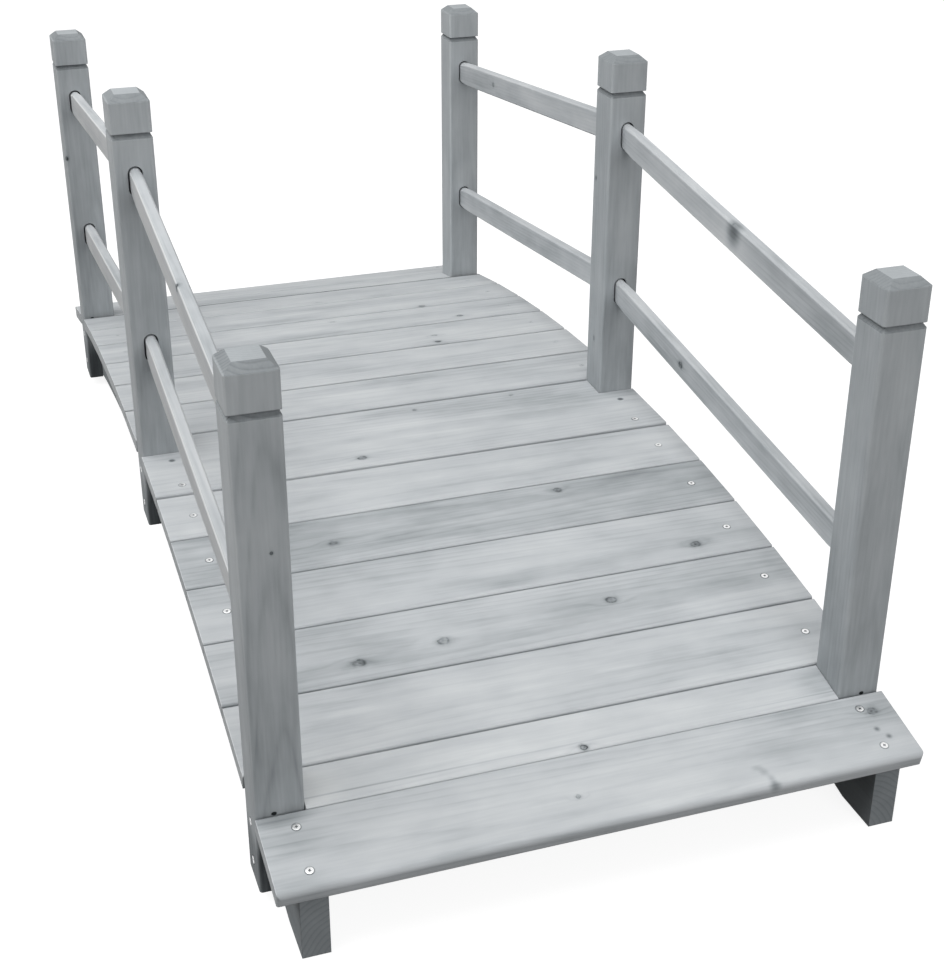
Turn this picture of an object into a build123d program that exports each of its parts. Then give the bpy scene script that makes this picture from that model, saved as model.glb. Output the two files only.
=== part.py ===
from build123d import *

import math
import os

# A small arched garden bridge of stained fir, in millimetres. X runs across the bridge, Y along it
# and Z up. The origin is on the ground under the middle of the bridge.

# Arch: the top edge of the stringers, which the deck boards lie on.
arch_radius = 2982.0
crown_height = 143.7

# Stringers: planks on edge with an arched top and underside and flat feet.
stringer_thickness = 25.0
stringer_depth = 73.0
nose_overhang = 4.5

# Deck boards, laid across the stringers.
deck_width = 602.0
board_thickness = 15.0
board_gap = 2.2
crown_gap = 4.5
end_gap = 0.8
board_seat_gap = 0.1
board_edge_chamfer = 1.0
crown_board_width = 138.5
end_board_width = 82.0
nose_top_radius = 6.0
nose_bottom_radius = 2.5
nose_corner_radius = 4.0
near_board_count = 5
far_board_count = 6

# Posts: square, all of one length, notched over the stringers at the lower end.
post_side = 43.6
post_length = 495.0
post_spacing = 587.0
post_setback = 0.8
post_edge_radius = 3.0
post_fit_gap = 0.4
cap_inset = 8.5
cap_height = 7.5
groove_drop = 39.5
groove_depth = 4.5
groove_height = 6.0

# Rails: bars with round-ended tenons in blind mortises of the posts.
rail_width = 12.0
rail_height = 30.0
rail_edge_chamfer = 1.8
upper_rail_drop = 90.2
lower_rail_drop = 277.5
tenon_reveal = 3.0
tenon_run_out = 26.0
mortise_depth = 15.0
mortise_end_gap = 0.3
mortise_side_gap = 1.9
mortise_bottom_gap = 0.3
mortise_top_gap = 2.0

# Places that follow from the sizes above.
post_half = post_side / 2
post_outer = deck_width / 2 - post_setback
post_inner = post_outer - post_side
stringer_middle = post_inner + stringer_thickness / 2
seat_radius = arch_radius + board_seat_gap
deck_radius = seat_radius + board_thickness
arch_centre_height = crown_height - arch_radius
rail_drops = {"upper": upper_rail_drop, "lower": lower_rail_drop}
sides = {"left": -1, "right": 1}
ends = {"near": -1, "far": 1}
rows = {"near": -1, "mid": 0, "far": 1}


def arch_height(along):
    """Height of the stringers' top edge at a distance along the bridge."""
    return arch_centre_height + math.sqrt(arch_radius**2 - along**2)


def deck_arc(along):
    """Length along the top of the deck from the crown to a distance along the bridge."""
    return deck_radius * math.asin(along / deck_radius)


def lay(solid, arc):
    """Sets a solid, whose underside is at zero height, square on the arch."""
    angle = arc / deck_radius
    place = Pos(0, seat_radius * math.sin(angle), arch_centre_height + seat_radius * math.cos(angle))
    return place * Rot(X=-math.degrees(angle)) * solid


# Stringers
def stringer(side):
    """A plank on edge: arched above and below, and flat on the ground at both ends."""
    angle = end_board_arc / deck_radius
    half_length = (
        seat_radius * math.sin(angle) + end_board_width / 2 * math.cos(angle) - nose_overhang
    )
    under_radius = arch_radius - stringer_depth
    foot_start = math.sqrt(under_radius**2 - arch_centre_height**2)
    top_end = arch_height(half_length)
    outline = [
        ThreePointArc((-half_length, top_end), (0, crown_height), (half_length, top_end)),
        Line((half_length, top_end), (half_length, 0)),
        Line((half_length, 0), (foot_start, 0)),
        ThreePointArc((foot_start, 0), (0, crown_height - stringer_depth), (-foot_start, 0)),
        Line((-foot_start, 0), (-half_length, 0)),
        Line((-half_length, 0), (-half_length, top_end)),
    ]
    plank = extrude(Plane.YZ * make_face(outline), amount=stringer_thickness / 2, both=True)
    return Pos(X=side * stringer_middle) * plank


# Posts
def post_place(row, side):
    """The middle of a post's lower end."""
    along = row * post_spacing
    return Pos(side * (post_outer - post_half), along, arch_height(along) - stringer_depth)


def post_blank():
    """A square post with rounded arrises, a cap chamfered on four sides and a groove under the cap."""
    shoulder = post_length - cap_height
    groove_top = post_length - groove_drop
    section = Rectangle(post_side, post_side)
    bar = extrude(fillet(section.vertices(), post_edge_radius), amount=post_length)
    cap_side = post_side - 2 * cap_inset
    cap = loft([Pos(Z=shoulder) * section, Pos(Z=post_length) * Rectangle(cap_side, cap_side)])
    envelope = extrude(section, amount=shoulder) + cap
    core_side = post_side - 2 * groove_depth
    groove_bottom = Pos(Z=groove_top - groove_height)
    core = loft([groove_bottom * section, Pos(Z=groove_top) * Rectangle(core_side, core_side)])
    band = groove_bottom * extrude(section, amount=groove_height)
    return (bar & envelope) - (band - core)


def stringer_notch(row, side):
    """The part of a post that the stringer takes, up to a shoulder that follows the arch."""
    block = Pos(Z=-post_length / 2) * Box(stringer_thickness, post_length, post_length)
    return Pos(X=side * stringer_middle) * lay(block, deck_arc(row * post_spacing))


def post(row, side):
    """One post, mortised for the rails that meet it and notched over its stringer."""
    solid = post_place(row, side) * post_blank()
    for end in ends.values():
        if row in (0, end):
            for drop in rail_drops.values():
                solid -= rail_place(end, side, drop) * mortise()
    return solid - stringer_notch(row, side)


# Rails
clear_span = post_spacing - post_side
rail_fall = arch_height(0) - arch_height(post_spacing)
rail_angle = math.atan2(rail_fall, clear_span)
clear_length = math.hypot(rail_fall, clear_span)


def rail_place(end, side, drop):
    """The middle of a mortise line from a mid post to an end post, with local Y along it."""
    top = arch_height(0) - stringer_depth + post_length
    place = Pos(side * (post_outer - post_half), end * post_spacing / 2, top - drop - rail_fall / 2)
    return place * Rot(X=-end * math.degrees(rail_angle))


def mortise():
    """The round-ended slots at both ends of a rail, as one bar that spans the bay."""
    width = rail_width + 2 * mortise_side_gap
    height = rail_height + mortise_top_gap + mortise_bottom_gap
    slot = SlotOverall(height, width, rotation=90)
    return extrude(Plane.XZ * slot, amount=clear_length / 2 + mortise_depth, both=True)


def rail():
    """A bar with eased arrises that widen to flats at each end, round the start of a round-ended tenon."""
    tenon_end = clear_length / 2 + mortise_depth - mortise_end_gap
    tenon_start = clear_length / 2 - tenon_reveal
    flat_chamfer = rail_width / (2 + math.sqrt(2))
    flat_rise = (flat_chamfer - rail_edge_chamfer) / math.sqrt(2)
    flat_angle = math.degrees(math.atan2(flat_rise, tenon_run_out))
    section = Rectangle(rail_width, rail_height)
    bar = extrude(Plane.XZ * chamfer(section.vertices(), rail_edge_chamfer), amount=tenon_end, both=True)
    flats = Plane.XZ.offset(-tenon_start) * chamfer(section.vertices(), flat_chamfer)
    worked = extrude(flats, amount=tenon_start, taper=-flat_angle)
    tenon = SlotOverall(rail_height, rail_width, rotation=90)
    envelope = extrude(Plane.XZ * tenon, amount=tenon_end, both=True)
    envelope += [worked, mirror(worked, about=Plane.XZ)]
    return Pos(Z=(mortise_bottom_gap - mortise_top_gap) / 2) * (bar & envelope)


# Deck
post_face_arc = deck_arc(post_spacing - post_half)
end_board_lean = board_thickness * (post_spacing + post_half) / arch_radius
end_board_start = deck_arc(post_spacing + post_half + end_board_lean)
end_board_arc = end_board_start + end_gap + end_board_width / 2
crown_arc = post_half - crown_gap - crown_board_width / 2
near_start = crown_board_width / 2 - crown_arc + crown_gap
far_start = post_half + post_fit_gap
near_pitch = (post_face_arc + board_gap / 2 - near_start) / near_board_count
far_pitch = (post_face_arc + board_gap / 2 - far_start) / far_board_count
board_width = min(near_pitch, far_pitch) - board_gap


def board(length, width):
    """A flat board with its two upper long arrises eased."""
    solid = Pos(Z=board_thickness / 2) * Box(length, width, board_thickness)
    arrises = solid.edges().filter_by(Axis.X).group_by(Axis.Z)[-1]
    return chamfer(arrises, board_edge_chamfer)


def end_board(end):
    """The last board of the deck, with a rounded nose and corners beyond the stringers' ends."""
    solid = Pos(Z=board_thickness / 2) * Box(deck_width, end_board_width, board_thickness)
    lower = solid.edges().filter_by(Axis.X).group_by(Axis.Y)[-1].sort_by(Axis.Z)[0]
    solid = fillet(lower, nose_bottom_radius)
    upper = solid.edges().filter_by(Axis.X).group_by(Axis.Z)[-1].sort_by(Axis.Y)
    solid = fillet(upper[-1], nose_top_radius)
    inner = solid.edges().filter_by(Axis.X).group_by(Axis.Z)[-1].sort_by(Axis.Y)[0]
    solid = chamfer(inner, board_edge_chamfer)
    plan = Rectangle(deck_width, end_board_width)
    plan = fillet(plan.vertices().group_by(Axis.Y)[-1], nose_corner_radius)
    solid &= extrude(plan, amount=board_thickness)
    turn = Rot(Z=0 if end > 0 else 180)
    return lay(turn * solid, end * end_board_arc)


def post_board(end):
    """The narrow board between a pair of end posts."""
    start = post_face_arc + board_gap / 2
    width = end_board_start - start
    arc = start + width / 2
    return lay(board(2 * (post_inner - post_fit_gap), width), end * arc)


def crown_board():
    """The wide board at the crown, notched at its far corners for the mid posts."""
    solid = lay(board(deck_width, crown_board_width), crown_arc)
    opening = post_side + 2 * post_fit_gap
    reach = deck_width / 2 - post_inner + post_fit_gap
    for side in sides.values():
        solid -= Pos(side * deck_width / 2, 0, crown_height) * Box(2 * reach, opening, post_length)
    return solid


def deck_boards(end, count, pitch):
    """The equal boards of one half of the deck, counted from the end towards the crown."""
    first = post_face_arc - pitch / 2
    return [lay(board(deck_width, board_width), end * (first - pitch * place)) for place in range(count)]


nodes = {
    "front_board": end_board(ends["near"]),
    "back_board": end_board(ends["far"]),
    "crown_board": crown_board(),
}
for number, solid in enumerate(deck_boards(ends["near"], near_board_count, near_pitch), 1):
    nodes[f"near_board_{number}"] = solid
for number, solid in enumerate(deck_boards(ends["far"], far_board_count, far_pitch), 1):
    nodes[f"far_board_{number}"] = solid
for end_name, end in ends.items():
    nodes[f"{end_name}_post_board"] = post_board(end)
for side_name, side in sides.items():
    nodes[f"{side_name}_stringer"] = stringer(side)
    for row_name, row in rows.items():
        nodes[f"{row_name}_{side_name}_post"] = post(row, side)
    for end_name, end in ends.items():
        for level, drop in rail_drops.items():
            nodes[f"{end_name}_{side_name}_{level}_rail"] = rail_place(end, side, drop) * rail()

os.makedirs("parts", exist_ok=True)
for name, solid in nodes.items():
    export_step(solid, f"parts/{name}.step")
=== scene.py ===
import math

import bpy
from mathutils import Euler, Matrix, Vector


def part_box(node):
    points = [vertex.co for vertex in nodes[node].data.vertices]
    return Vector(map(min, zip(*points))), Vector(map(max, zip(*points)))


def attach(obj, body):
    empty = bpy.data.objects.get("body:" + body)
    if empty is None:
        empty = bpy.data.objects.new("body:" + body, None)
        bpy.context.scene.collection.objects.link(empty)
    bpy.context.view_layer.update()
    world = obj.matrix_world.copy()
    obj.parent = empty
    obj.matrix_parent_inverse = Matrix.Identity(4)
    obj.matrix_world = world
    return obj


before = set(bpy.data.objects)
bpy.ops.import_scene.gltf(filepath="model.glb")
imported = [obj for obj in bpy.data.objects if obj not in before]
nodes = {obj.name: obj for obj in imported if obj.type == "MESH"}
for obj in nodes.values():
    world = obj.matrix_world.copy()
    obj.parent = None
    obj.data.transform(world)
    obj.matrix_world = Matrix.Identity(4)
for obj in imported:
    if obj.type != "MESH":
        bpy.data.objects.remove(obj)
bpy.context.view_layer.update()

# Stringers
# Two planks of planed fir set on edge, sawn to a low arch, with flat feet. They carry the deck, and the posts
# are screwed to them. The stain is darker on them than on the boards, and darkest on their sawn ends.
mm = 0.001


def linear(code):
    """A colour written as sRGB hex, in the linear values that a shader takes."""
    parts = [int(code[i:i + 2], 16) / 255 for i in (1, 3, 5)]
    return tuple(c / 12.92 if c <= 0.04045 else ((c + 0.055) / 1.055) ** 2.4 for c in parts) + (1.0,)


def add(tree, kind, links=None, stops=None, **settings):
    """Adds a node to a material with its settings, its links or fixed inputs, and a ramp's stops."""
    node = tree.nodes.new("ShaderNode" + kind)
    for name, value in settings.items():
        setattr(node, name, value)
    for socket, source in (links or {}).items():
        if isinstance(source, bpy.types.NodeSocket):
            tree.links.new(source, node.inputs[socket])
        else:
            node.inputs[socket].default_value = source
    if stops:
        bar = node.color_ramp.elements
        while len(bar) < len(stops):
            bar.new(1.0)
        for step, (place, value) in zip(bar, stops):
            step.position = place
            step.color = linear(value) if isinstance(value, str) else (value, value, value, 1.0)
    return node


def reach(tree, where, place, half_sizes):
    """How far a point is from a spot's middle, as a share of the spot's half sizes along the three axes."""
    scale = tuple(1 / size for size in half_sizes)
    offset = tuple(-p * s for p, s in zip(place, scale))
    near = add(tree, "VectorMath", {0: where, 1: scale, 2: offset}, operation="MULTIPLY_ADD").outputs[0]
    return add(tree, "VectorMath", {0: near}, operation="LENGTH").outputs["Value"]


def spot(tree, where, place, half_sizes, inner):
    """A soft spot: one out to the inner share of its half sizes, then fading to nothing at its edge."""
    distance = reach(tree, where, place, half_sizes)
    return add(tree, "MapRange", {"Value": distance, 1: inner, 2: 1.0, 3: 1.0, 4: 0.0},
               interpolation_type="SMOOTHSTEP").outputs[0]


def stained_fir(name, centre, turn, stains, seed, pith, shift=0.0, ends=(0.0, 0.1), rings=(0.12, 0.15),
                ring_width=4.2, lean=0.012, gloss=0.06, shares=(0.48, 0.38, 0.18), section=(),
                knots=(), marks=(), heads=()):
    """Planed fir under a thin grey stain, which the eye reads as soft, cloudy and matt.

    The grain runs along local X of the turn given. Growth rings lie round a pith line beside the piece, so
    that faces show long faint lines and sawn ends show arcs. All that the stain darkens takes away from one
    tone, which a ramp turns to colour. Ends tell how much slanted faces and sawn ends darken, rings how much
    the growth rings show on faces and on sawn ends, and shares how much streaks, clouds and fibres show. A
    section's half sizes give the piece worn arrises. These, the ring width, knots, marks and screw heads
    are in millimetres, the rest in metres.
    """
    material = bpy.data.materials.new(name)
    material.use_nodes = True
    tree = material.node_tree
    tree.nodes.clear()
    back = turn.to_matrix().transposed()

    def locally(place):
        return back @ (Vector(place) * mm - centre)

    coordinate = add(tree, "TexCoord")
    local = add(tree, "Mapping", {"Vector": coordinate.outputs["Object"], "Location": centre,
                                  "Rotation": turn}, vector_type="TEXTURE").outputs[0]

    # Patterns by their length along the grain, width across it and detail. Real fibres are a tenth as wide
    # as those here, too fine to show, so they are drawn coarser.
    patterns = {
        "wander": (520, 60, 2.0),
        "streak": (300, 32, 2.0),
        "cloud": (75, 36, 3.0),
        "fibre": (50, 2.6, 2.0),
    }
    seed_step, octave_fade = 7.31, 0.55
    layers = {}
    for layer, (length, width, detail) in patterns.items():
        scale = (1 / (length * mm), 1 / (width * mm), 1 / (width * mm))
        sized = add(tree, "Mapping", {"Vector": local, "Scale": scale}).outputs[0]
        layers[layer] = add(tree, "TexNoise", {"Vector": sized, "W": seed * seed_step, "Scale": 1.0,
                                               "Detail": detail, "Roughness": octave_fade},
                            noise_dimensions="4D").outputs[0]

    # How squarely a face cuts the grain: nothing along a face, one at a sawn end.
    grain_axis = tuple(turn.to_matrix() @ Vector((1.0, 0.0, 0.0)))
    facing = add(tree, "VectorMath", {0: coordinate.outputs["Normal"], 1: grain_axis},
                 operation="DOT_PRODUCT").outputs["Value"]
    facing = add(tree, "Math", {0: facing}, operation="ABSOLUTE").outputs[0]

    # Distance from the pith, which a leaning and wandering trunk shifts along the piece.
    ring_wander = 16 * mm
    across = add(tree, "VectorMath", {0: local, 1: (0.0, 1.0, 1.0)}, operation="MULTIPLY").outputs[0]
    depth = add(tree, "VectorMath", {0: across, 1: (0.0, *pith)}, operation="DISTANCE").outputs["Value"]
    along = add(tree, "SeparateXYZ", {0: local}).outputs[0]
    depth = add(tree, "Math", {0: along, 1: lean, 2: depth}, operation="MULTIPLY_ADD").outputs[0]
    depth = add(tree, "Math", {0: layers["wander"], 1: ring_wander, 2: depth},
                operation="MULTIPLY_ADD").outputs[0]

    # Cloudy uptake of the stain along the grain, quieter on sawn ends.
    plain_tone, face_limit, end_limit, end_share = 0.62, 0.3, 0.7, 0.45
    uptake = -sum(shares) / 2
    for layer, part in zip(("streak", "cloud", "fibre"), shares):
        uptake = add(tree, "Math", {0: layers[layer], 1: part, 2: uptake},
                     operation="MULTIPLY_ADD").outputs[0]
    quiet = add(tree, "MapRange", {"Value": facing, 1: face_limit, 2: end_limit, 3: 1.0,
                                   4: end_share}).outputs[0]
    tone = add(tree, "Math", {0: uptake, 1: quiet, 2: plain_tone + shift},
               operation="MULTIPLY_ADD").outputs[0]

    # Knots: a dark heart and bark ring, broken up, in a smudge that pushes the growth rings aside.
    knot_rings = [(0.0, 1.0), (0.1, 0.75), (0.22, 0.55), (0.4, 0.85), (0.54, 0.3), (0.75, 0.1), (1.0, 0.0)]
    knot_shape, swell_shape = (2.5, 2.0, 2.0), (7.0, 2.6, 2.6)
    knot_shake, smudge_share, push_share = 4.4 * mm, 0.16, 0.9
    wobble_width, wobble_detail, wobble_low, wobble_high = 6.25 * mm, 3.0, 0.36, 0.64
    faintest, fullest = 0.55, 1.2
    if knots:
        wobble = add(tree, "TexNoise", {"Vector": local, "Scale": 1 / wobble_width, "Detail": wobble_detail})
        broken = add(tree, "MapRange", {"Value": wobble.outputs[0], 1: wobble_low, 2: wobble_high,
                                        3: faintest, 4: fullest}).outputs[0]
        shaken = add(tree, "VectorMath", {0: wobble.outputs["Color"], 1: (knot_shake,) * 3, 2: local},
                     operation="MULTIPLY_ADD").outputs[0]
        shaken = add(tree, "VectorMath", {0: shaken, 1: (knot_shake / 2,) * 3},
                     operation="SUBTRACT").outputs[0]
    for place, radius, strength in knots:
        size = radius * mm
        core = reach(tree, shaken, locally(place), [share * size for share in knot_shape])
        ring = add(tree, "ValToRGB", {0: core}, knot_rings).outputs[0]
        ring = add(tree, "Math", {0: ring, 1: broken}, operation="MULTIPLY").outputs[0]
        tone = add(tree, "Math", {0: ring, 1: -strength, 2: tone}, operation="MULTIPLY_ADD").outputs[0]
        swell = spot(tree, shaken, locally(place), [share * size for share in swell_shape], 0.0)
        tone = add(tree, "Math", {0: swell, 1: -smudge_share * strength, 2: tone},
                   operation="MULTIPLY_ADD").outputs[0]
        depth = add(tree, "Math", {0: swell, 1: push_share * ring_width * mm, 2: depth},
                    operation="MULTIPLY_ADD").outputs[0]

    # Marks: stains, painted light and shade laid on the same way, and a ring of painted shade round each
    # screw head, where the head sits in the wood.
    head_shade_radius, head_shade_inner, head_shade_strength = 5.0, 0.72, 0.4
    head_shades = [(place, (head_shade_radius,) * 3, head_shade_strength, head_shade_inner) for place in heads]
    for place, half_sizes, strength, inner in (*marks, *head_shades):
        dark = spot(tree, local, locally(place), [size * mm for size in half_sizes], inner)
        tone = add(tree, "Math", {0: dark, 1: -strength, 2: tone}, operation="MULTIPLY_ADD").outputs[0]

    # Arrises along the grain, where handling has rubbed the stain thin.
    worn_width, worn_strength = 4.0, 0.08
    if section:
        worn = worn_strength
        for axis, half in enumerate(section, 1):
            off_axis = add(tree, "Math", {0: add(tree, "SeparateXYZ", {0: local}).outputs[axis]},
                           operation="ABSOLUTE").outputs[0]
            edge = add(tree, "MapRange", {"Value": off_axis, 1: (half - worn_width) * mm, 2: half * mm},
                       interpolation_type="SMOOTHSTEP").outputs[0]
            worn = add(tree, "Math", {0: edge, 1: worn}, operation="MULTIPLY").outputs[0]
        tone = add(tree, "Math", {0: tone, 1: worn}).outputs[0]

    # Growth rings, each with a thin dark line of late wood.
    turns = add(tree, "Math", {0: depth, 1: ring_width * mm}, operation="DIVIDE").outputs[0]
    share = add(tree, "Math", {0: turns}, operation="FRACT").outputs[0]
    late_wood = [(0.0, 0.6), (0.15, 0.75), (0.6, 0.6), (0.86, 0.15), (1.0, 0.6)]
    ring = add(tree, "ValToRGB", {0: share}, late_wood).outputs[0]
    slant_limit, sawn_limit = 0.6, 0.95
    clear = add(tree, "MapRange", {"Value": facing, 1: slant_limit, 2: sawn_limit, 3: rings[0],
                                   4: rings[1]}).outputs[0]
    tone = add(tree, "Math", {0: ring, 1: clear, 2: tone}, operation="MULTIPLY_ADD").outputs[0]

    # Slanted faces and sawn ends drink more of the stain. Then the tone becomes colour.
    sawn = [(0.0, 0.0), (0.4, 0.0), (0.6, ends[0]), (0.85, ends[0]), (0.97, ends[1])]
    drink = add(tree, "ValToRGB", {0: facing}, sawn).outputs[0]
    tone = add(tree, "Math", {0: tone, 1: drink}, operation="SUBTRACT").outputs[0]
    deepest_stain, tone_stops = "#1E2224", (0.0, 0.25, 0.5, 0.65, 0.95)
    shades = list(zip(tone_stops, (deepest_stain, *stains)))
    colour = add(tree, "ValToRGB", {0: tone}, shades).outputs[0]

    # Eased arrises, raised fibres and a dull surface.
    eased_radius, eased_samples, wood_ior = 1.2 * mm, 6, 1.45
    fibre_relief, relief_strength, relief_height = 0.8, 0.12, 0.3 * mm
    smoothest, roughest = 0.62, 0.8
    relief = add(tree, "Math", {0: layers["fibre"], 1: fibre_relief, 2: ring},
                 operation="MULTIPLY_ADD").outputs[0]
    eased = add(tree, "Bevel", {"Radius": eased_radius}, samples=eased_samples).outputs[0]
    bump = add(tree, "Bump", {"Strength": relief_strength, "Distance": relief_height, "Height": relief,
                              "Normal": eased}).outputs[0]
    rough = add(tree, "MapRange", {"Value": layers["fibre"], 3: smoothest, 4: roughest}).outputs[0]
    shader = add(tree, "BsdfPrincipled", {"Base Color": colour, "Roughness": rough, "Normal": bump,
                                          "IOR": wood_ior, "Specular IOR Level": gloss}).outputs[0]
    add(tree, "OutputMaterial", {"Surface": shader})
    return material


def middle(name):
    """The middle of a node's box."""
    low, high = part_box(name)
    return (low + high) / 2


def dress(name, material):
    """Gives a node its finish."""
    for place in nodes[name].material_slots:
        place.material = material


stringer_stains = ("#5C6164", "#83888B", "#93989B", "#A6ABAE")
stringer_pith = (45 * mm, -92 * mm)
stringer_ends, stringer_rings, stringer_ring_width = (0.0, 0.16), (0.06, 0.17), 5.4
along_bridge = Euler((0.0, 0.0, math.radians(90)))
for number, (side, sign) in enumerate((("left", -1), ("right", 1)), 1):
    name = f"{side}_stringer"
    dress(name, stained_fir(f"stained_fir_{name}", middle(name), along_bridge, stringer_stains, number,
                            (sign * stringer_pith[0], stringer_pith[1]), ends=stringer_ends,
                            rings=stringer_rings, ring_width=stringer_ring_width))

# Deck boards
# Planed fir boards laid across the stringers and screwed down at both ends. The end boards have a rounded
# nose, the wide board at the crown is notched round the mid posts, and narrow boards, which show no screws,
# fill the space between the end posts.
deck_stains = ("#767B7E", "#AEB3B6", "#C4C8CB", "#DEE1E2")
seat_radius, board_half = 2982.1 * mm, 7.5 * mm
screw_line = 269.1 * mm
crown_screw_offset, end_screw_offsets = -50 * mm, (24 * mm, -22.5 * mm)

# Knots by place across and along the bridge, radius and strength.
deck_knots = [
    ((-65.0, -100.5), 4.5, 0.46), ((27.3, 1.3), 2.4, 0.28), ((151.0, 5.9), 2.4, 0.28),
    ((-140.7, -262.1), 3.6, 0.3), ((120.6, -229.8), 4.2, 0.3), ((223.1, -365.6), 5.0, 0.36),
    ((-165.5, -453.0), 5.4, 0.36), ((-79.7, -443.9), 5.2, 0.38), ((101.2, -428.8), 5.0, 0.36),
    ((-0.1, -608.0), 3.4, 0.8), ((-25.8, -658.9), 2.0, 0.46), ((279.2, -633.9), 4.6, 0.3),
    ((27.9, 487.1), 3.0, 0.15), ((156.5, 390.5), 3.6, 0.4), ((18.3, 362.3), 3.4, 0.22),
    ((189.2, 316.4), 3.8, 0.5), ((128.6, 242.3), 3.2, 0.45), ((125.1, 215.7), 3.4, 0.55),
]
# Marks by place, half sizes across and along, strength (negative where pale) and the share at full strength:
# patches and wisps, two sunk screws painted as dark holes (painted shade) with a pale edge of painted light
# on one, smudges near the front, a pale spot of painted light over the shade by the near left post, and dark
# lines along joints, the one by the far post board painted shade in the gap.
deck_marks_and_painted_light = [
    ((180.0, -25.0), (200.0, 75.0), 0.1, 0.2), ((274.4, -45.9), (5.4, 5.0), 0.5, 0.3),
    ((-270.0, -41.4), (5.4, 5.0), 0.45, 0.3), ((274.4, -51.0), (3.6, 1.8), -0.16, 0.0),
    ((260.0, -255.0), (250.0, 90.0), 0.06, 0.3), ((0.0, 562.0), (640.0, 6.0), 0.5, 0.4),
    ((142.2, -668.8), (9.0, 5.0), 0.16, 0.0), ((146.3, -674.5), (7.0, 7.0), 0.18, 0.0),
    ((149.7, -683.4), (6.0, 8.0), 0.22, 0.0), ((150.0, -690.5), (9.0, 6.0), 0.34, 0.1),
    ((272.5, -654.9), (4.6, 4.6), 0.34, 0.0), ((279.2, -665.2), (4.6, 4.6), 0.34, 0.0),
    ((-305.0, -660.0), (110.0, 90.0), 0.14, 0.1), ((230.0, -650.0), (170.0, 80.0), 0.11, 0.2),
    ((-200.0, -601.2), (330.0, 1.7), 0.26, 0.0), ((230.0, -602.0), (160.0, 1.2), 0.16, 0.0),
    ((240.0, -350.0), (110.0, 60.0), 0.08, 0.2), ((90.0, -440.0), (120.0, 60.0), 0.05, 0.2),
    ((-60.0, -590.0), (150.0, 14.0), -0.07, 0.2), ((120.0, -585.0), (70.0, 12.0), -0.07, 0.2),
    ((-248.0, -592.0), (45.0, 40.0), -0.2, 0.2), ((252.0, -590.0), (40.0, 30.0), 0.18, 0.2),
    ((-282.0, -616.0), (48.0, 13.0), 0.22, 0.2), ((-40.0, -683.0), (280.0, 11.0), -0.1, 0.2),
    ((-27.0, -525.0), (36.0, 6.0), -0.1, 0.0), ((-191.0, -512.5), (40.0, 6.0), -0.1, 0.0),
    ((69.0, -522.0), (38.0, 5.5), -0.1, 0.0), ((35.0, -64.5), (64.0, 7.0), -0.08, 0.0),
]
mark_depth = 12.0
# The boards' left end faces are painted paler as a whole: partly painted light from the left, partly their
# own tone.
painted_light_left_end = ((0.9, 120.0, 40.0), -0.2, 0.5)
board_shift = {"near_board_4": -0.11, "near_board_3": -0.04, "near_board_2": -0.07,
               "near_post_board": 0.03, "front_board": -0.02}
deck_seed = 11
board_pith_step, board_pith_span, board_pith_drop = (37, 23), (50, 40), 38
near_count, far_count = 5, 6
near_boards = ["front_board", "near_post_board"]
near_boards += [f"near_board_{i}" for i in range(1, near_count + 1)] + ["crown_board"]
far_boards = [f"far_board_{i}" for i in range(far_count, 0, -1)] + ["far_post_board", "back_board"]
screw_places = []


def board_tilt(name):
    """A board's slope, square to the arch that it lies on."""
    return -math.asin(middle(name).y / (seat_radius + board_half))


def board_top(name, across, along):
    """A point on a board's upper face: across the bridge and up the board's slope from its middle."""
    tilt = board_tilt(name)
    return middle(name) + Matrix.Rotation(tilt, 3, "X") @ Vector((across, along, board_half))


def on_board(name, spots):
    """The spots that fall on a board, each with its place lifted to the board's upper face."""
    low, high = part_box(name)
    tilt = board_tilt(name)
    start = board_top(name, 0.0, 0.0).y
    return [(board_top(name, across * mm, (along * mm - start) / math.cos(tilt)) / mm, *rest)
            for (across, along), *rest in spots if low.y < along * mm < high.y]


for number, name in enumerate(near_boards + far_boards, deck_seed):
    offsets = [0.0]
    if name == "crown_board":
        offsets = [crown_screw_offset]
    elif name == "front_board":
        offsets = end_screw_offsets
    elif name == "back_board":
        offsets = [-offset for offset in end_screw_offsets]
    elif name.endswith("post_board"):
        offsets = []
    tilt = Euler((board_tilt(name), 0.0, 0.0))
    heads = [board_top(name, side * screw_line, offset) for offset in offsets for side in (-1, 1)]
    screw_places += [(place, tilt, f"{name}_screw_{i}", name in far_boards)
                     for i, place in enumerate(heads, 1)]
    aside, below = [number * step % span for step, span in zip(board_pith_step, board_pith_span)]
    pith = ((aside - board_pith_span[0] / 2) * mm, -(board_pith_drop + below) * mm)
    marks = [(place, (*half_sizes, mark_depth), *rest)
             for place, half_sizes, *rest in on_board(name, deck_marks_and_painted_light)]
    marks.append((board_top(name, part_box(name)[0].x, 0.0) / mm, *painted_light_left_end))
    dress(name, stained_fir(f"stained_fir_{name}", middle(name), tilt, deck_stains, number, pith,
                            board_shift.get(name, 0.0), knots=on_board(name, deck_knots), marks=marks,
                            heads=[] if name in far_boards else [place / mm for place in heads]))

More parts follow.
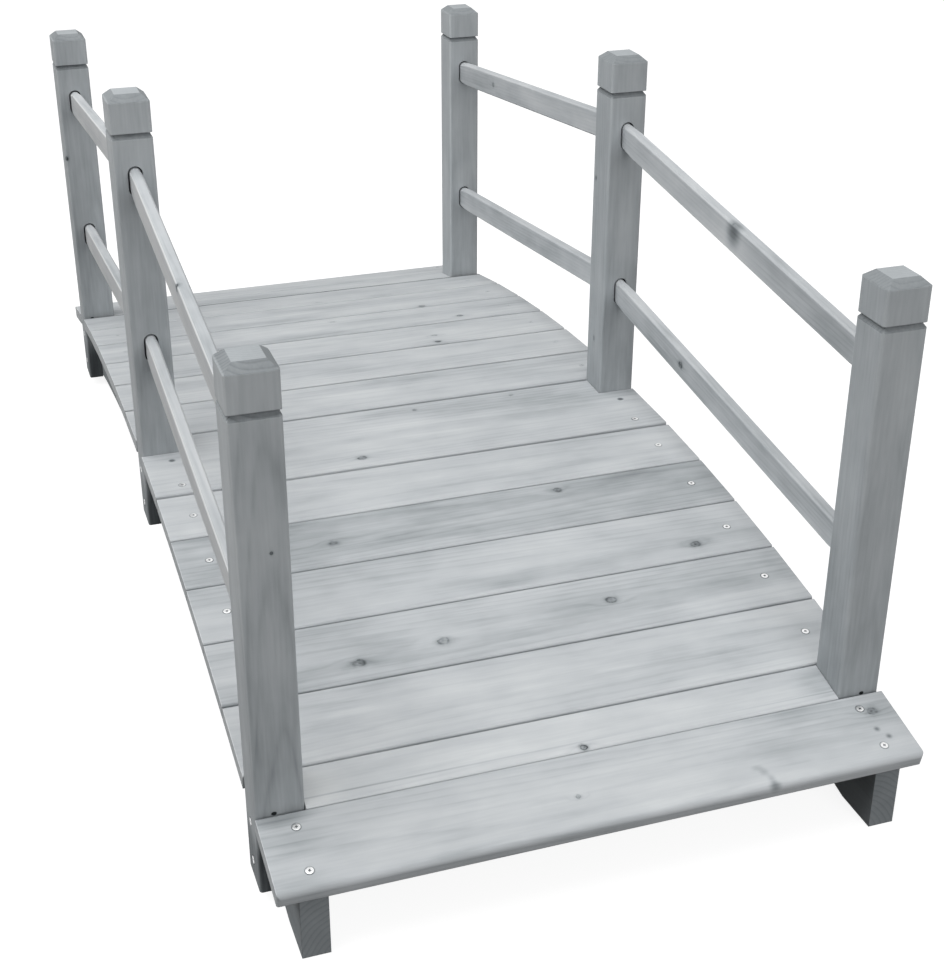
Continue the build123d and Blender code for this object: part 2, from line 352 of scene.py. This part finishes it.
# Posts
# Square fir posts with a chamfered cap over a V groove, mortised for the rails and notched over the
# stringers, each held by two screws from its outer face. Their lower ends are painted darker: painted shade.
post_stains = ("#5C6164", "#999EA1", "#B0B5B8", "#CFD3D5")
post_shift = {"near_left_post": -0.06, "near_right_post": 0.01, "far_right_post": 0.02,
              "mid_right_post": -0.01, "far_left_post": -0.02}
post_seed, post_ends, post_lean, post_gloss = 41, (0.2, 0.03), 0.03, 0.25
post_face_rings, plain_face_rings, post_end_rings = {"near_left_post": 0.13}, 0.07, 0.08
post_shares, post_section = (0.24, 0.34, 0.2), (21.8, 21.8)
post_pith, post_pith_step, post_variants = (30, -6), (4, 5), 3
post_knots = {
    "near_left_post": [((-272.1, -608.8, 347.0), 1.3, 0.4)],
    "mid_right_post": [((256.6, 13.3, 419.0), 2.0, 0.42), ((256.6, 1.1, 222.0), 2.4, 0.36)],
    "far_left_post": [((-298.9, 566.2, 341.0), 2.4, 0.55)],
}
# Marks by half sizes along the post and across it, strength and the share at full strength.
# Holes low on three posts, not cut in the wood but painted as dark spots: painted shade.
hole_shade = ((2.4, 2.4, 3.0), 0.7, 0.5)
hole_shades = {
    "near_left_post": (-283.6, -608.8, 95.0),
    "near_right_post": (282.2, -608.8, 94.2),
    "far_left_post": (-288.3, 565.2, 104.4),
}
# Painted shade on the lower ends, darkest at the foot below the deck.
foot_shade, low_shade = ((75.0, 60.0, 60.0), 0.3, 0.6), ((380.0, 200.0, 200.0), 0.08, 0.2)
# Painted shade on the lower slope of the groove under the cap.
groove_drop, groove_shade = 43.0, ((3.4, 200.0, 200.0), 0.07, 0.6)
# Faces painted paler or darker as a whole: partly painted light and shade, partly the wood's own tone.
lit_and_shaded_faces = {
    "near_left_post": ((-300.2, -587.0, 300.0), (450.0, 60.0, 2.4), -0.16, 0.5),
    "near_right_post": ((256.6, -587.0, 200.0), (400.0, 60.0, 2.4), 0.03, 0.5),
    "far_right_post": ((256.6, 587.0, 300.0), (400.0, 60.0, 2.4), -0.1, 0.5),
    "mid_left_post": ((-300.2, 0.0, 330.0), (450.0, 60.0, 2.4), -0.14, 0.5),
    "far_left_post": ((-300.2, 587.0, 300.0), (450.0, 60.0, 2.4), -0.14, 0.5),
}
post_screw_heights = (62 * mm, 20 * mm)
upright = Euler((0.0, math.radians(-90), 0.0))
for number, (row, side) in enumerate((r, s) for r in ("near", "mid", "far") for s in ("left", "right")):
    name = f"{row}_{side}_post"
    low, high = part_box(name)
    foot = Vector((middle(name).x, middle(name).y, low.z))
    outer = low.x if side == "left" else high.x
    face = Euler((0.0, math.radians(-90 if side == "left" else 90), 0.0))
    heads = [Vector((outer, foot.y, foot.z + height)) for height in post_screw_heights]
    screw_places += [(place, face, f"{name}_screw_{i}", False) for i, place in enumerate(heads, 1)]
    groove = Vector((foot.x, foot.y, high.z - groove_drop * mm))
    marks = [(foot / mm, *foot_shade), (foot / mm, *low_shade), (groove / mm, *groove_shade)]
    if name in lit_and_shaded_faces:
        marks.append(lit_and_shaded_faces[name])
    if name in hole_shades:
        marks.append((hole_shades[name], *hole_shade))
    pith = [(base + step * (number % post_variants)) * mm for base, step in zip(post_pith, post_pith_step)]
    rings = (post_face_rings.get(name, plain_face_rings), post_end_rings)
    dress(name, stained_fir(f"stained_fir_{name}", middle(name), upright, post_stains, post_seed + number,
                            pith, post_shift.get(name, 0.0), post_ends, rings, lean=post_lean,
                            gloss=post_gloss, shares=post_shares, section=post_section,
                            knots=post_knots.get(name, ()), marks=marks,
                            heads=[place / mm for place in heads]))

# Rails
# Slim fir bars with eased arrises whose rounded ends sit in the posts' blind mortises, two in each bay.
# They slope with the deck, from the mid posts down to the end posts.
rail_stains = ("#6C7174", "#A8ADB0", "#C3C7CA", "#E2E4E5")
rail_knots = {
    "far_right_upper_rail": [((272.4, 420.4, 432.7), 3.6, 0.3)],
    "near_right_lower_rail": [((272.4, -205.3, 268.3), 3.8, 0.5)],
    "near_left_upper_rail": [((-284.4, -296.5, 456.3), 3.6, 0.7)],
}
# Marks by half sizes along the rail and across it. The left rails' outer faces get painted light from the
# floor.
rail_marks = {
    "near_right_upper_rail": [((272.4, -303.0, 450.0), (22.0, 14.0, 22.0), 0.42, 0.1),
                              ((272.4, -430.0, 431.0), (150.0, 14.0, 40.0), 0.06, 0.3),
                              ((272.4, -300.0, 462.0), (3.0, 6.0, 6.0), 0.2, 0.0)],
}
rail_shift = {"near_right_lower_rail": -0.06, "far_right_lower_rail": -0.03}
# Painted light on the left rails' outer faces.
left_rail_shift, painted_bounce_face = -0.04, ((400.0, 1.6, 60.0), -0.3, 0.5)
rail_seed, rail_rings, rail_section = 61, (0.08, 0.1), (6.0, 15.0)
rail_pith, rail_pith_step, rail_variants = (14, -24), (5, -7), (3, 4)
near_post, mid_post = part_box("near_left_post"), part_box("mid_left_post")
rail_angle = math.atan2(mid_post[1].z - near_post[1].z, mid_post[0].y - near_post[1].y)
for number, (row, side, level) in enumerate(
        (r, s, v) for r in ("near", "far") for s in ("left", "right") for v in ("upper", "lower")):
    name = f"{row}_{side}_{level}_rail"
    slope = Euler((0.0, -rail_angle if row == "near" else rail_angle, math.radians(90)))
    pith = [(base + step * (number % variants)) * mm
            for base, step, variants in zip(rail_pith, rail_pith_step, rail_variants)]
    shift = rail_shift.get(name, 0.0)
    marks = rail_marks.get(name, [])
    if side == "left":
        shift = left_rail_shift
        outer_face = Vector((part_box(name)[0].x, middle(name).y, middle(name).z))
        marks = [*marks, (outer_face / mm, *painted_bounce_face)]
    dress(name, stained_fir(f"stained_fir_{name}", middle(name), slope, rail_stains, rail_seed + number,
                            pith, shift, rings=rail_rings, section=rail_section,
                            knots=rail_knots.get(name, ()), marks=marks))

# Screws
# Zinc-plated countersunk wood screws with a cross recess, driven almost flush into boards and posts. The
# plating is bright and a little dulled, and the recess is painted dark: painted shade. In the far half a film
# of the stain covers it.
spangles_per_mm, spangle_detail, spangle_low, spangle_high = 0.9, 3.0, 0.3, 0.7
rough_spread = 0.15
head_looks = {}
for name, dark, pale, rough, metal in (("zinc_plated_steel", "#DDDFE0", "#FAFAFA", 0.3, 1.0),
                                       ("stain_filmed_steel", "#B4B9BC", "#C8CCCF", 0.6, 0.0),
                                       ("shadowed_steel", "#202325", "#33373A", 0.7, 1.0)):
    steel = bpy.data.materials.new(name)
    steel.use_nodes = True
    tree = steel.node_tree
    tree.nodes.clear()
    place = add(tree, "TexCoord").outputs["Object"]
    spangle = add(tree, "TexNoise", {"Vector": place, "Scale": spangles_per_mm / mm,
                                     "Detail": spangle_detail}).outputs[0]
    shade = add(tree, "ValToRGB", {0: spangle}, [(spangle_low, dark), (spangle_high, pale)]).outputs[0]
    dull = add(tree, "MapRange", {"Value": spangle, 1: spangle_low, 2: spangle_high, 3: rough,
                                  4: rough + rough_spread}).outputs[0]
    shine = add(tree, "BsdfPrincipled", {"Base Color": shade, "Metallic": metal,
                                         "Roughness": dull}).outputs[0]
    add(tree, "OutputMaterial", {"Surface": shine})
    head_looks[name] = steel

head_radius, head_depth, head_rise, shank_share = 3.6 * mm, 2.0 * mm, 0.3 * mm, 0.55
recess_reach, recess_width, recess_depth = 1.4 * mm, 1.0 * mm, 1.3 * mm
dome_rise, dome_inset = 0.12 * mm, 0.5 * mm
head_sides, level_limit, smooth_angle = 32, 0.5, math.radians(35)
inside_margin, depth_margin = 1.05, 1.1
spin_step, spin_range = 37, 90
bpy.ops.object.select_all(action="DESELECT")
bpy.ops.mesh.primitive_cylinder_add(vertices=head_sides, radius=head_radius, depth=head_depth,
                                    location=(0.0, 0.0, head_rise - head_depth / 2))
head = bpy.context.object
bpy.ops.object.mode_set(mode="EDIT")
bpy.ops.mesh.select_all(action="DESELECT")
bpy.ops.mesh.select_mode(type="FACE")
bpy.ops.object.mode_set(mode="OBJECT")
for face in head.data.polygons:
    face.select = face.normal.z < -level_limit
bpy.ops.object.mode_set(mode="EDIT")
bpy.ops.transform.resize(value=(shank_share, shank_share, 1.0), center_override=(0.0, 0.0, 0.0))
bpy.ops.mesh.select_all(action="DESELECT")
bpy.ops.object.mode_set(mode="OBJECT")
for face in head.data.polygons:
    face.select = face.normal.z > level_limit
bpy.ops.object.mode_set(mode="EDIT")
bpy.ops.mesh.inset(thickness=dome_inset)
bpy.ops.transform.translate(value=(0.0, 0.0, dome_rise))
bpy.ops.object.mode_set(mode="OBJECT")
for quarter in (0, 90):
    bpy.ops.object.select_all(action="DESELECT")
    bpy.ops.mesh.primitive_cube_add(size=1.0, location=(0.0, 0.0, head_rise))
    blade = bpy.context.object
    blade.scale = (2 * recess_reach, recess_width, 2 * recess_depth)
    blade.rotation_euler = (0.0, 0.0, math.radians(quarter))
    bpy.ops.object.transform_apply(location=True, rotation=True, scale=True)
    bpy.ops.object.select_all(action="DESELECT")
    bpy.context.view_layer.objects.active = head
    head.select_set(True)
    cut = head.modifiers.new("recess", "BOOLEAN")
    cut.object = blade
    cut.solver = "EXACT"
    bpy.ops.object.modifier_apply(modifier=cut.name)
    bpy.data.objects.remove(blade)
bpy.ops.object.shade_smooth_by_angle(angle=smooth_angle)
bpy.ops.object.transform_apply(location=True, rotation=True, scale=True)
head.data.materials.clear()
head.data.materials.append(head_looks["zinc_plated_steel"])
head.data.materials.append(head_looks["shadowed_steel"])
for face in head.data.polygons:
    inside = face.center.xy.length < inside_margin * recess_reach and face.center.z < head_rise
    above_shank = face.normal.z > -level_limit and face.center.z > head_rise - depth_margin * recess_depth
    face.material_index = 1 if inside and above_shank else 0
for number, (place, turn, name, filmed) in enumerate(screw_places):
    screw = head.copy()
    screw.data = head.data.copy()
    screw.name = name
    screw.data.name = name
    if filmed:
        for slot in range(len(screw.data.materials)):
            screw.data.materials[slot] = head_looks["stain_filmed_steel"]
    bpy.context.collection.objects.link(screw)
    spin = Matrix.Rotation(math.radians(spin_step * number % spin_range), 4, "Z")
    screw.data.transform(Matrix.Translation(place) @ turn.to_matrix().to_4x4() @ spin)
    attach(screw, "root")
bpy.data.objects.remove(head)

# Floor, light and camera
# A plain white studio sweep with one wide soft lamp overhead, a soft one behind the camera and an even fill.
# The white is what the camera and reflections see; the light that it throws back on the wood stays low.
glow_level = 0.88
floor_look = bpy.data.materials.new("studio_floor")
floor_look.use_nodes = True
sweep = floor_look.node_tree
world = bpy.data.worlds.new("studio")
world.use_nodes = True
air = world.node_tree
seen = {}
for tree in (sweep, air):
    tree.nodes.clear()
    path = add(tree, "LightPath").outputs
    looked_at = add(tree, "Math", {0: path["Is Camera Ray"], 1: path["Is Glossy Ray"]},
                    operation="MAXIMUM").outputs[0]
    seen[tree] = add(tree, "Math", {0: looked_at, 1: path["Is Transmission Ray"]},
                     operation="MAXIMUM").outputs[0]
paper = add(sweep, "BsdfDiffuse", {"Color": linear("#9A9A9A")}).outputs[0]
glow = add(sweep, "Emission", {"Color": linear("#FFFFFF"), "Strength": glow_level}).outputs[0]
white = add(sweep, "AddShader", {0: paper, 1: glow}).outputs[0]
bounce = add(sweep, "BsdfDiffuse", {"Color": linear("#121212")}).outputs[0]
both = add(sweep, "MixShader", {0: seen[sweep], 1: bounce, 2: white}).outputs[0]
add(sweep, "OutputMaterial", {"Surface": both})
floor_size, floor_drop = 30.0, 0.5 * mm
bpy.ops.object.select_all(action="DESELECT")
bpy.ops.mesh.primitive_plane_add(size=floor_size, location=(0.0, 0.0, 0.0))
floor = bpy.context.object
floor.data.transform(Matrix.Translation((0.0, 0.0, -floor_drop)))
floor.name = "studio_floor"
floor.data.materials.append(floor_look)

sky_level = 0.36
level = add(air, "MapRange", {"Value": seen[air], 3: sky_level, 4: 1.0}).outputs[0]
sky = add(air, "Background", {"Color": linear("#FFFFFF"), "Strength": level}).outputs[0]
add(air, "OutputWorld", {"Surface": sky})
bpy.context.scene.world = world

lamp_aim = Vector((0.0, 0.0, 0.2))
for name, size, power, place in (("overhead_lamp", 3.5, 86.0, (-1.4, 0.0, 3.05)),
                                 ("front_lamp", 2.6, 72.0, (0.9, -4.9, 2.2))):
    lamp = bpy.data.lights.new(name, "AREA")
    lamp.shape = "SQUARE"
    lamp.size = size
    lamp.energy = power
    lamp_object = bpy.data.objects.new(name, lamp)
    lamp_object.location = place
    lamp_object.rotation_euler = (lamp_aim - lamp_object.location).to_track_quat("-Z", "Y").to_euler()
    bpy.context.collection.objects.link(lamp_object)

lens_pixels, picture_height, film_height = 1642.12, 965.0, 36.0
camera_place = Vector((-482.2, -1711.5, 981.9)) * mm
camera = bpy.data.cameras.new("camera")
camera.sensor_fit = "VERTICAL"
camera.sensor_height = film_height
camera.lens = lens_pixels / picture_height * camera.sensor_height
camera_object = bpy.data.objects.new("camera", camera)
look = Vector((0.2862, 0.84159, -0.45806)).normalized()
right = Vector((0.94712, -0.32087, 0.00223)).normalized()
stand = Matrix((right, right.cross(look), -look)).transposed().to_4x4()
stand.translation = camera_place
camera_object.matrix_world = stand
bpy.context.collection.objects.link(camera_object)
bpy.context.scene.camera = camera_object
bpy.context.scene.view_settings.view_transform = "Standard"
